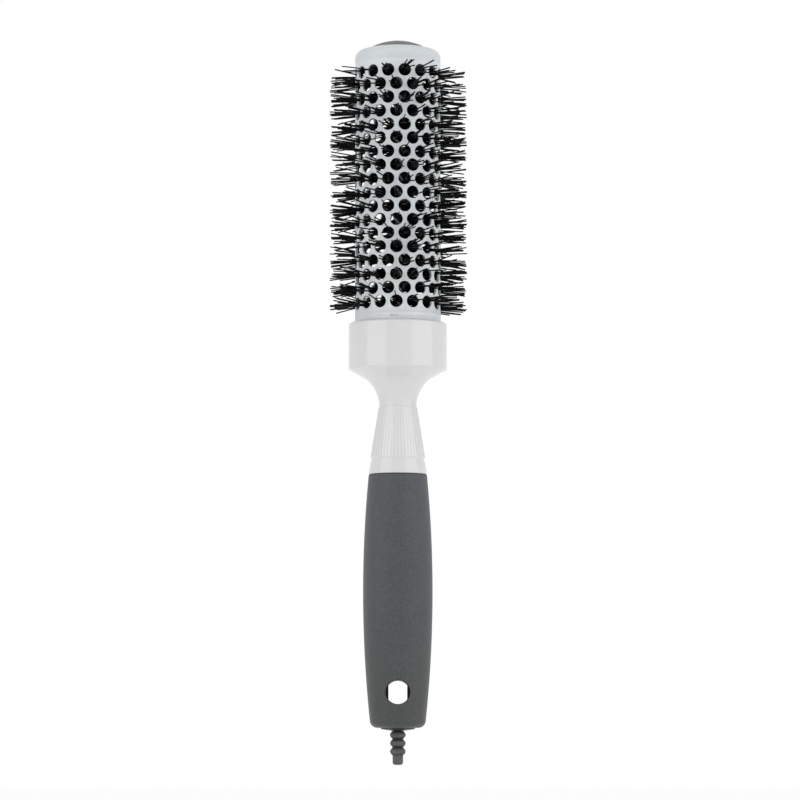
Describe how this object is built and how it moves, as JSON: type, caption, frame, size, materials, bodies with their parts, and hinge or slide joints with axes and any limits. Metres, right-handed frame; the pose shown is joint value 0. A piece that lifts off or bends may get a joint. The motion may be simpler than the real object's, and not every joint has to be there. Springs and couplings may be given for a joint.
{
  "type": "round barrel hair brush",
  "caption": "Round hair brush with a perforated ceramic-coated barrel, nylon bristles, glossy collar and neck, rubber grip with hang hole, and a ribbed pull-out tail.",
  "frame": {"origin": "on the brush's axis, at the middle of the collar's round face", "axes": "+Z along the brush from the handle to the barrel, -Y towards the front mouth of the hang hole"},
  "size_m": [0.05, 0.05, 0.2682],
  "materials": {
    "barrel_ceramic": "matte pale grey ceramic coating on aluminium",
    "cap_plastic": "satin mid-grey moulding",
    "inner_plastic": "plain white moulding",
    "core_steel": "drawn wire",
    "collar_gloss": "glossy off-white moulding",
    "handle_core_plastic": "black moulding",
    "grip_rubber": "matte dark grey soft-touch rubber",
    "end_plug_plastic": "matte dark grey moulding",
    "tail_rubber": "matte dark grey rubber",
    "bristle_nylon": "black nylon filament"
  },
  "bodies": {
    "brush": {"barrel": "barrel_ceramic", "end_cap": "cap_plastic", "barrel_plug": "inner_plastic", "core_wire_a": "core_steel", "core_wire_b": "core_steel", "collar_neck": "collar_gloss", "handle_core": "handle_core_plastic", "grip_sleeve": "grip_rubber", "handle_end_plug": "end_plug_plastic", "bristle_row_01": "bristle_nylon", "bristle_row_02": "bristle_nylon", "bristle_row_03": "bristle_nylon", "bristle_row_04": "bristle_nylon", "bristle_row_05": "bristle_nylon", "bristle_row_06": "bristle_nylon", "bristle_row_07": "bristle_nylon", "bristle_row_08": "bristle_nylon", "bristle_row_09": "bristle_nylon", "bristle_row_10": "bristle_nylon", "bristle_row_11": "bristle_nylon", "bristle_row_12": "bristle_nylon", "bristle_row_13": "bristle_nylon", "bristle_row_14": "bristle_nylon", "bristle_row_15": "bristle_nylon", "bristle_row_16": "bristle_nylon", "bristle_row_17": "bristle_nylon", "bristle_row_18": "bristle_nylon"},
    "tail": {"sectioning_tail": "tail_rubber"}
  },
  "joints": [
    {"name": "tail_pull", "type": "slide", "parent": "brush", "child": "tail", "axis": [0, 0, -1], "range_m": [0, 0.009]}
  ]
}
